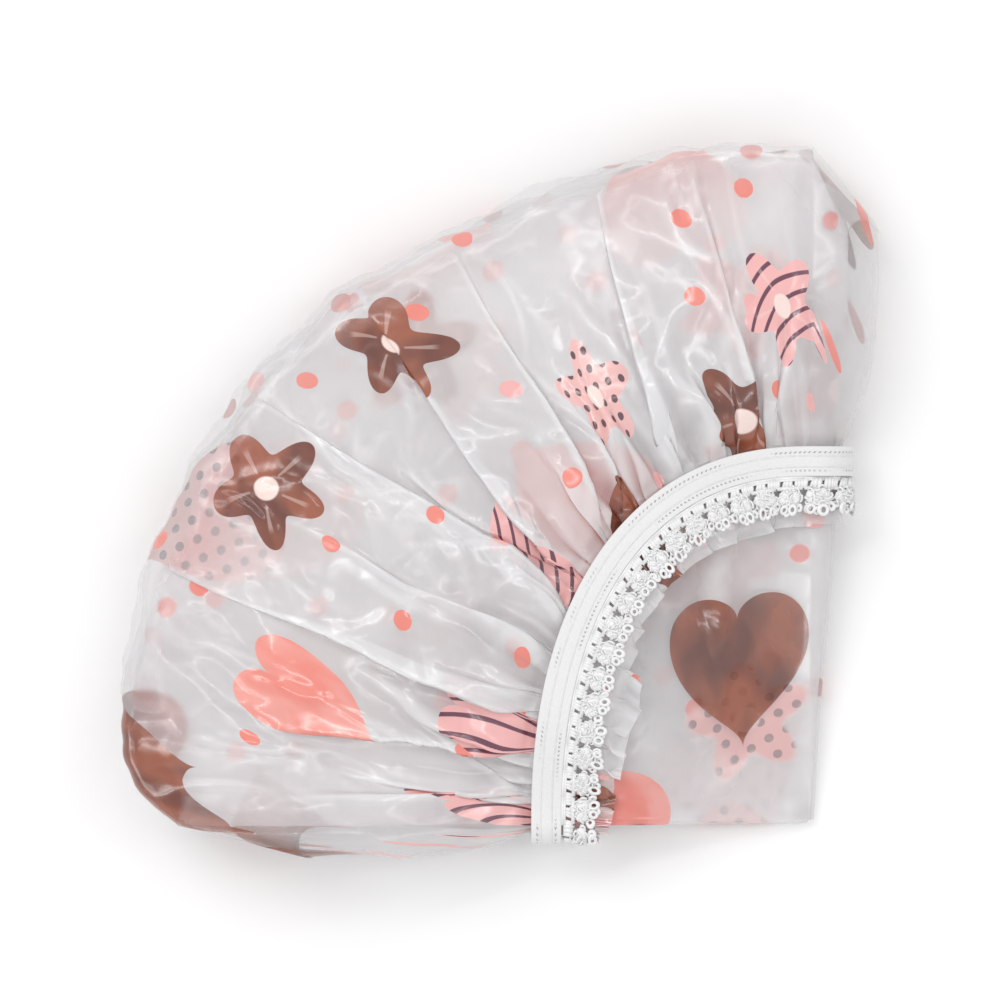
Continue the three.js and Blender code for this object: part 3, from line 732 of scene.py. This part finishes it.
class Skirt:
    """The gathered skirt: from the rim back to the elastic, under it, and out past the lace.

    distance runs from the elastic to the rim, shift moves the film along the arc, lift stands it
    up, and the doubling value tells how much it lies over itself; it also carries the painted
    highlight on crests and fold lines and the painted shade between gathers and towards the rim.
    """

    def __init__(self, columns):
        self.columns, self.spots = columns, columns.spots.spread(SKIRT_ROWS)
        start = columns.mouth + TAPE_MARGIN
        out_part = (np.arange(OUT_ROWS) / OUT_ROWS)[:, None]
        in_part = np.linspace(0, 1, IN_ROWS)[:, None]
        outer_part = lerp(columns.shoulder, start, 1 - (1 - out_part) ** 1.25)
        self.radius = np.concatenate([outer_part, lerp(start, hem_radius(columns), in_part)])
        self.distance = self.radius - columns.mouth - TAPE_MARGIN
        self.arc = self.radius * QUARTER
        self.shift, self.lift = np.zeros_like(self.radius), np.zeros_like(self.radius)
        self.doubled = np.full_like(self.radius, 0.7)
        self.edge = smooth(0, 0.045, np.minimum(self.spots.share, 1 - self.spots.share))
        self.gather(0, TOP_GATHERS, 0.4)
        self.crumple()
        # the lower quarters are pressed flat, so their gathers only go inward
        for leg in (2, 4, 6):
            self.gather(leg, LOWER_GATHERS, 1.0)
        self.ease_at_folds()
        self.loosen_edge()

    def part(self, leg):
        """The columns of one quarter, with their share of it, distance and arc."""
        here = self.columns.leg == leg
        return here, self.spots.share[:, here], self.distance[:, here], self.arc[:, here]

    def gather(self, leg, gathers, pressed):
        here, share, near, span = self.part(leg)
        for count, reach, height, lean, seed in gathers:
            out_by, up_by, twice_and_painted_light = pleats(share, near, span, count, reach, height, lean, seed + leg)
            grow = lerp(0.3, 1, smooth(0, 2.5 * height + 2, near))
            # denser film on the crests of the gathers, painted lighter there as painted highlight and
            # darker between them as painted shade
            self.doubled[:, here] += twice_and_painted_light * smooth(-2, 1, near)
            self.shift[:, here] += out_by * lerp(0.5, 1, smooth(-6, 3, near))
            self.lift[:, here] += up_by * grow - pressed * height * np.clip(1 - near / reach, 0, 1)

    def crumple(self):
        """Main and minor folds, soft waves and creases of the top quarter."""
        here, share, near, span = self.part(0)
        for folds in (MAIN_FOLDS, minor_folds()):
            out_by, up_by, painted_highlight_line = lapped(share, near, span, folds)
            self.shift[:, here] += out_by
            self.lift[:, here] += up_by
            # the crest of each lap gets a painted highlight line
            self.doubled[:, here] += 0.5 * painted_highlight_line
        radius = self.radius[:, here]
        x, y = radius * np.cos(share * QUARTER), radius * np.sin(share * QUARTER)
        broad = waves(x, y, seed=51, count=6, low=22, high=55)
        fine = waves(x, y, seed=91, count=9, low=8, high=20)
        crumpled = smooth(-0.5, 0.9, waves(x, y, seed=95, count=5, low=38, high=90))
        self.lift[:, here] += 0.5 * broad * smooth(4, 30, near)
        self.lift[:, here] += (0.08 + 0.22 * crumpled) * fine * smooth(3, 18, near)
        up_by, painted_highlight_line = creases(-x, y, seed=61, count=110)
        self.lift[:, here] += up_by * smooth(3, 14, near)
        # each crease gets a painted highlight line
        self.doubled[:, here] += 0.4 * painted_highlight_line * smooth(3, 14, near)

    def ease_at_folds(self):
        """Round the folds the film has its own soft ripples, the same on both sides of each bend."""
        leg, share = self.columns.leg, self.columns.spots.share
        bare = np.isin(leg, (0, 1, 2)) & (share > 0.5) | np.isin(leg, (0, 7)) & (share < 0.5)
        across = np.where(self.spots.share > 0.5, 90.0, 0.0)
        ripple = waves(self.radius, across, seed=83, count=5, low=9, high=30) * 0.6 - 1
        ripple = ripple * 0.42 * np.where(bare, 1.0, 0.2) * smooth(2, 12, self.distance)
        self.shift = self.shift * self.edge
        self.lift = lerp(ripple, self.lift, self.edge)
        # by the bends and towards the rim the film is painted darker and thinner, a painted shade
        out = smooth(0.72, 0.98, self.distance / self.columns.depth)
        self.doubled = np.clip(lerp(0.35, self.doubled, self.edge) - 0.5 * out, 0, 1)

    def loosen_edge(self):
        """The elastic holds the gathers flat under it, and past the lace they are loose again."""
        under_band = smooth(2.5, 0, self.distance) * smooth(-17, -14.5, self.distance)
        self.lift = lerp(self.lift, np.clip(self.lift * 0.5 - 0.5, -1.0, -0.12), under_band)
        loose = smooth(-14.8, -17.5, self.distance) * self.edge
        beat = self.spots.share * 2 * math.pi
        # the lower edges, hidden between the layers, are ruffled more
        ruffle = np.sin(beat * 15 + 0.9 * np.sin(beat * 4))
        self.shift += loose * self.spots.by_layer(1.3, 2.0) * ruffle
        ruffle = 1.1 + np.sin(beat * 11 + 1.3 * np.cos(beat * 3)) + 0.4 * np.sin(beat * 27)
        self.lift -= loose * self.spots.by_layer(1.3, 0.6) * ruffle

    def points(self):
        """Clear of the crown, and within the layer's own height on the lower quarters."""
        outer = self.spots.outer(self.radius)
        drop = BAND_HEIGHT * (1 - smooth(0, 0.26 * self.columns.depth, self.distance))
        height = np.maximum(outer - drop + self.lift, self.spots.pocket(self.radius) * 0.12 + 0.35)
        height = self.spots.by_layer(height, np.minimum(height, outer))
        share = np.clip(self.spots.share + self.shift / self.arc, 0, 1)
        share = np.where(self.columns.quarter, share, self.spots.share)
        return self.spots.moved(share).folded(self.radius, height)


def disc_lengths(columns, crown_radius, skirt):
    """Each place's distance from the middle of the flat disc, along its column."""
    rim_radius, rim_height = rim_rows(columns, dented=False)
    radius = np.concatenate([crown_radius, rim_radius, skirt.radius])
    height = np.concatenate([0 * crown_radius, rim_height, skirt.spots.outer(skirt.radius)])
    plain = columns.spots.spread(len(radius)).folded(radius, height)
    steps = np.linalg.norm(np.diff(plain, axis=0), axis=-1)
    return TIP_RADIUS + np.concatenate([np.zeros((1, columns.count)), np.cumsum(steps, axis=0)])


def disc_turns(columns):
    """The turn of each column on the flat disc, and a whole turn after the last."""
    quarter_step = 1 / columns.spots.by_layer(TOP_STEPS, QUARTER_STEPS)
    steps = np.where(columns.quarter, quarter_step, BEND_TURN / BEND_STEPS)
    return running(steps) / steps.sum() * 2 * math.pi


def on_disc(away, turn):
    """A place on the film's map, whose middle is the crown's tip."""
    return 0.5 + away[..., None] / MAP_SIZE * np.stack([np.cos(turn), np.sin(turn)], -1)


def layers_over(columns, crown_radius, lowest):
    """How far each place is hidden under other layers, from 0 to 1."""
    cover = np.where(np.isin(columns.leg, (0, 1, 7)), 0.0, 1.0)
    crown = np.where(crown_radius > columns.mouth - 14, 1.0, cover * 0.8)
    crown = np.where((cover == 0) & (crown_radius < columns.mouth - 10), 0.0, crown)
    # the rims of all layers, and the skirt that lies on the table, are seen bare from outside
    from_rim = smooth(RIM_ROWS, RIM_ROWS + 14, np.arange(RIM_ROWS + SKIRT_ROWS))[:, None]
    return np.concatenate([crown, np.where(lowest, 0, cover * from_rim)])


def film_sheet():
    """The cap's one disc of film: crown, rim and skirt, with the map of the flat disc."""
    columns = Columns()
    crown_radius, crown_height, ridges = crown_rows(columns)
    skirt = Skirt(columns)
    points = np.concatenate([columns.spots.spread(CROWN_ROWS).folded(crown_radius, crown_height),
                             columns.spots.spread(RIM_ROWS).folded(*rim_rows(columns, dented=True)),
                             skirt.points()])
    points[..., 2] = np.maximum(points[..., 2], 0)
    rows, count = points.shape[:2]

    lowest = points[-SKIRT_ROWS // 2, :, 2] < 4
    hidden = layers_over(columns, crown_radius, lowest)
    # the open crown is painted darker and thinner, a painted shade, with its ridges painted lighter as soft
    # streaks of painted highlight; the rim is painted darker, a painted shade
    doubled = np.concatenate([np.where(hidden[:CROWN_ROWS] == 0, 0.2 + 0.9 * ridges, 0.6),
                              np.full((RIM_ROWS, count), 0.25), skirt.doubled])

    faces = grid_faces(rows, count)[:, ::-1]
    turns = disc_turns(columns)
    away = disc_lengths(columns, crown_radius, skirt)[faces // count, faces % count]
    corner_uv = on_disc(away, turns[unwrapped(faces % count, count)])
    # the middle of the disc closes the crown with a fan of triangles
    here = np.arange(count)
    fan = np.stack([here, (here + 1) % count, np.full(count, rows * count)], -1)
    fan_turns = np.stack([turns[:-1], turns[1:], turns[1:]], -1)
    fan_uv = on_disc(np.array([TIP_RADIUS, TIP_RADIUS, 0]), fan_turns)
    points = np.append(points.reshape(-1, 3), [points[0].mean(0)], axis=0)
    return new_piece("film_cap_sheet", points, [*faces, *fan], film_paint(),
                     np.concatenate([corner_uv.reshape(-1, 2), fan_uv.reshape(-1, 2)]), "flat",
                     hidden=np.append(hidden, 0), doubled=np.append(doubled, 0.2))


film = film_sheet()
settle(film, "film_cap")


# The elastic and its seam

def swept(name, section, stations, material, dive=None):
    """A strip or cord that follows the mouth. Its section's points are (inset, level)."""
    section = np.array(section[::-1], float)
    sides = len(section)
    distance = np.arange(stations) * ring.total / stations
    insets, levels = (np.repeat(section[None, :, axis], stations, 0) for axis in range(2))
    if dive:
        levels = levels - dive(distance[:, None])
    points = on_band(np.repeat(ring.at(distance)[:, None], sides, 1), insets, levels)
    faces = grid_faces(stations, sides, closed_rows=True)
    outline = running(np.linalg.norm(np.diff(section, axis=0, append=section[:1]), axis=-1))
    row, column = unwrapped(faces // sides, stations), unwrapped(faces % sides, sides)
    corner_uv = np.stack([row * ring.total / stations, outline[column]], -1) * MM
    return new_piece(name, points, faces, material, corner_uv)


def round_section(inset, level, thick, sides):
    turns = np.arange(sides) * 2 * math.pi / sides
    return [(inset + thick / 2 * math.cos(t), level + thick / 2 + thick / 2 * math.sin(t)) for t in turns]


def face_section(steps=40):
    """The face is nearly flat: faint swells over the strands with fine wales on them."""
    section = [(0.06, FACE_LEVEL + 0.1), (0.0, FACE_LEVEL + 0.2)]
    for step in range(steps + 1):
        inset = 0.08 + (TAPE_WIDTH - 0.16) * step / steps
        swell = 0.03 * math.sin(math.pi * 3 * inset / TAPE_WIDTH) ** 2
        wale = 0.018 * math.cos(2 * math.pi * 15 * inset / TAPE_WIDTH)
        section.append((inset, FACE_LEVEL + 0.34 + swell + wale))
    section += [(TAPE_WIDTH, FACE_LEVEL + 0.2), (TAPE_WIDTH - 0.06, FACE_LEVEL + 0.1)]
    return section + [(TAPE_WIDTH * (1 - step / 8), FACE_LEVEL + 0.02) for step in range(1, 8)]


def back_section():
    """The back has shallow weft ridges."""
    section = [(0.0, BACK_LEVEL + 0.06), (0.0, BACK_LEVEL + 0.2), (0.1, BACK_LEVEL + 0.25)]
    section += [(TAPE_WIDTH * step / 10, BACK_LEVEL + 0.25 - 0.03 * (step % 2)) for step in range(1, 10)]
    section += [(TAPE_WIDTH - 0.1, BACK_LEVEL + 0.25), (TAPE_WIDTH, BACK_LEVEL + 0.2)]
    section.append((TAPE_WIDTH, BACK_LEVEL + 0.06))
    return section + [(TAPE_WIDTH * (1 - step / 6), BACK_LEVEL + 0.02) for step in range(1, 6)]


tape_white = knit_paint("tape_knit", TAPE_WHITE, 0.9)
back_white = knit_paint("tape_back_knit", TAPE_BACK_WHITE, 0.7)
settle(swept("tape_face_knit", face_section(), 640, tape_white), "tape_face")
settle(swept("tape_back_weft", back_section(), 480, back_white), "tape_back")

strand_tan = rubber_paint()
for count in range(3):
    section = round_section((count + 0.5) * TAPE_WIDTH / 3, STRAND_LEVEL, STRAND_THICK, 8)
    strand = swept(f"strand_{count + 1}", section, 480, strand_tan)
    settle(strand, f"rubber_strand_{count + 1}")

STITCHES = round(ring.total / STITCH_LENGTH)
STITCH_STEPS = 8


def stitched(name, inset, level, thick, dip):
    """A thread in single stitches: it lies up along each one and dives at its ends."""
    def dive(distance):
        place = np.mod(distance / (ring.total / STITCHES), 1)
        return dip * (1 - smooth(0.0, 0.16, np.minimum(place, 1 - place)))
    section = round_section(inset, level, thick, 6)
    return swept(name, section, STITCHES * STITCH_STEPS, thread_white, dive)


thread_white = floss_paint("seam_thread", THREAD_WHITE, 0.42, 0.1, twist=900.0)
for count in range(2):
    inset = 1.9 + 2.2 * count
    thread = stitched(f"needle_stitches_{count + 1}", inset, NEEDLE_LEVEL - 0.14, NEEDLE_THICK, 0.16)
    settle(thread, f"needle_thread_{count + 1}")
settle(stitched("under_stitches", 3.0, UNDER_LEVEL, UNDER_THICK, -0.08), "under_thread")


# The lace, drawn on the flat: u along the tape, v away from it, w up

# Chains along the tape: v, w, thickness. Bars: u at both ends, thickness. They leave a three-sided
# eyelet and a slot. Picots, a fan of rings at the outer edge: u, v, w, radius.
CHAINS = ((0.2, 0.75, 0.3), (0.6, 0.65, 0.32))
BARS = ((0.3, 0.1, 0.36), (0.75, 0.35, 0.34), (2.15, 1.35, 0.34), (2.6, 2.1, 0.42), (3.2, 2.9, 0.42),
        (4.35, 4.1, 0.4), (4.9, 4.75, 0.42), (5.45, 5.4, 0.38))
PICOTS = ((0.5, 5.95, 0.55, 0.55), (1.6, 6.5, 1.1, 0.74), (2.8, 6.95, 0.7, 0.62), (3.9, 6.55, 1.25, 0.76),
          (5.1, 6.1, 0.7, 0.58))
BAR_SIDES, CHAIN_SIDES, PICOT_THICK = 5, 6, 0.35


def deselect():
    bpy.ops.object.select_all(action="DESELECT")


def loop(place, radius, thick, tilt, squash, sides):
    """A ring of floss."""
    deselect()
    bpy.ops.mesh.primitive_torus_add(major_segments=sides[0], minor_segments=sides[1], major_radius=radius,
                                     minor_radius=thick, location=place, rotation=tilt)
    bpy.context.object.scale = (1, squash, 1)
    return bpy.context.object


def yarn(start, end, thick, sides):
    """A straight run of floss."""
    start, end = Vector(start), Vector(end)
    span = end - start
    deselect()
    bpy.ops.mesh.primitive_cylinder_add(vertices=sides, radius=thick, depth=span.length,
                                        location=(start + end) / 2,
                                        rotation=span.to_track_quat("Z", "Y").to_euler())
    return bpy.context.object


def rosette(rng):
    """A ruffled heap of small loops of floss on a padded heart, nearly as wide as the repeat."""
    centre_u, centre_v = LACE_PITCH / 2, 4.1
    deselect()
    bpy.ops.mesh.primitive_uv_sphere_add(segments=9, ring_count=5, radius=1,
                                         location=(centre_u, centre_v, 0.65))
    bpy.context.object.scale = (2.78, 1.85, 0.55)
    parts = [bpy.context.object]
    for step in range(24):
        turn, away = step * 2.4, 0.47 * math.sqrt(step + 0.3)
        tilt = (rng.uniform(-1.1, 1.1), rng.uniform(-1.1, 1.1), turn)
        place = (centre_u + away * math.cos(turn) * 1.12, centre_v + away * math.sin(turn) * 0.84,
                 1.25 - 0.26 * away + rng.uniform(-0.15, 0.2))
        radius, thick = rng.uniform(0.36, 0.58), rng.uniform(0.2, 0.28)
        parts.append(loop(place, radius, thick, tilt, rng.uniform(0.75, 1.3), (8, 4)))
    return parts


def lace_repeat(seed):
    """One repeat of the lace: ground, rosette and picots."""
    rng = np.random.default_rng(seed)
    parts = [yarn((-0.1, v, w), (LACE_PITCH + 0.1, v, w), thick, CHAIN_SIDES) for v, w, thick in CHAINS]
    parts += [yarn((foot, 0.4, 0.6), (head, 2.3, 0.6), thick, BAR_SIDES) for foot, head, thick in BARS]
    parts.append(yarn((0.1, 2.3, 0.6), (5.5, 2.3, 0.65), 0.42, BAR_SIDES))
    parts += rosette(rng)
    for u, v, w, radius in PICOTS:
        tilt = (rng.uniform(-0.6, 0.5), rng.uniform(-0.6, 0.6), (u - LACE_PITCH / 2) * -0.25)
        place = (u + rng.normal(0, 0.2), v + rng.normal(0, 0.25), w)
        radius *= rng.uniform(0.85, 1.15)
        parts.append(loop(place, radius, PICOT_THICK, tilt, rng.uniform(1.05, 1.35), (12, 5)))
    deselect()
    for piece in parts:
        piece.select_set(True)
    bpy.context.view_layer.objects.active = parts[0]
    bpy.ops.object.join()
    bpy.ops.object.transform_apply(location=True, rotation=True, scale=True)
    return bpy.context.object


def flat_repeat(seed):
    """The points and faces of one repeat."""
    pattern = lace_repeat(seed)
    flat = np.empty(len(pattern.data.vertices) * 3)
    pattern.data.vertices.foreach_get("co", flat)
    faces = [tuple(face.vertices) for face in pattern.data.polygons]
    bpy.data.objects.remove(pattern)
    return flat.reshape(-1, 3), faces


def lace_edge():
    """Repeats of three kinds, each a little moved and turned, laid round the mouth."""
    kinds = [flat_repeat(seed) for seed in (3, 5, 8)]
    repeats = round(ring.total / LACE_PITCH)
    pitch = ring.total / repeats
    rng = np.random.default_rng(71)
    all_points, all_faces, start = [], [], 0
    for repeat in range(repeats):
        flat, faces = kinds[rng.integers(len(kinds))]
        u, v, w = flat.T
        # only the outer part of a repeat is free to move
        grow = smooth(2.4, 6.5, v)
        du = (v - 3) * rng.normal(0, 0.09) * grow + rng.normal(0, 0.16) * grow
        dv = rng.normal(0, 0.3) * grow
        dw = (rng.normal(0, 0.14) + rng.normal(0, 0.3) * (u / LACE_PITCH - 0.5)) * grow
        distance = (repeat + (u + du) / LACE_PITCH) * pitch
        level = BACK_LEVEL + 0.2 + np.maximum(w + dw, 0.2)
        laid = on_band(ring.at(distance), TAPE_WIDTH + v * (1 + dv / 8), level)
        laid[:, 2] = np.maximum(laid[:, 2], 0)
        all_points.append(laid)
        all_faces += [tuple(index + start for index in face) for face in faces]
        start += len(flat)
    lace_white = floss_paint("lace_floss", LACE_WHITE, 0.24, 0.4)
    return new_piece("lace_floss", np.concatenate(all_points), all_faces, lace_white)


settle(lace_edge(), "lace_edge")


# Floor and light

# Lamps, all aimed at the middle: name, place, size across, size along, power
LAMPS = [
    ("key_light", (-0.7, 0.65, 1.2), 0.7, 0.7, 4.6),
    ("side_strip", (0.62, 0.15, 1.35), 0.045, 0.9, 1.7),
    ("upper_strip", (-0.3, 0.62, 1.3), 0.9, 0.045, 1.7),
    ("low_strip", (-0.2, -0.65, 1.25), 0.9, 0.045, 1.5),
]
WORLD_LIGHT = 0.76


def floor():
    deselect()
    bpy.ops.mesh.primitive_plane_add(size=4, location=(0, 0, -0.0004))
    piece = bpy.context.object
    piece.name = "table"
    bpy.ops.object.transform_apply(location=True, rotation=True, scale=True)
    paint = Paint("white_table", Roughness=0.7)
    shade = paint.mix(paint.noise(paint.here(), 3.0), (0.97, 0.97, 0.97), (0.99, 0.99, 0.99))
    piece.data.materials.append(paint.set(Base_Color=shade))


def lamp(name, place, across, along, power):
    data = bpy.data.lights.new(name, "AREA")
    data.shape = "RECTANGLE"
    data.size, data.size_y = across, along
    data.energy = power
    piece = bpy.data.objects.new(name, data)
    bpy.context.collection.objects.link(piece)
    piece.location = place
    piece.rotation_euler = (-Vector(place)).to_track_quat("-Z", "Y").to_euler()


def studio():
    """A world that is white to the camera and dimmer as a light."""
    world = bpy.data.worlds.new("studio")
    bpy.context.scene.world = world
    world.use_nodes = True
    tree = world.node_tree
    background = tree.nodes["Background"]
    background.inputs["Color"].default_value = (1, 1, 1, 1)
    rays = tree.nodes.new("ShaderNodeLightPath").outputs
    direct = Sock(tree, rays["Is Camera Ray"]).maths("MAXIMUM", Sock(tree, rays["Is Transmission Ray"]))
    strength = direct * (1 - WORLD_LIGHT) + WORLD_LIGHT
    tree.links.new(strength.socket, background.inputs["Strength"])


floor()
for settings in LAMPS:
    lamp(*settings)
studio()

bpy.context.scene.view_settings.view_transform = "Standard"
bpy.context.scene.cycles.transparent_max_bounces = 32
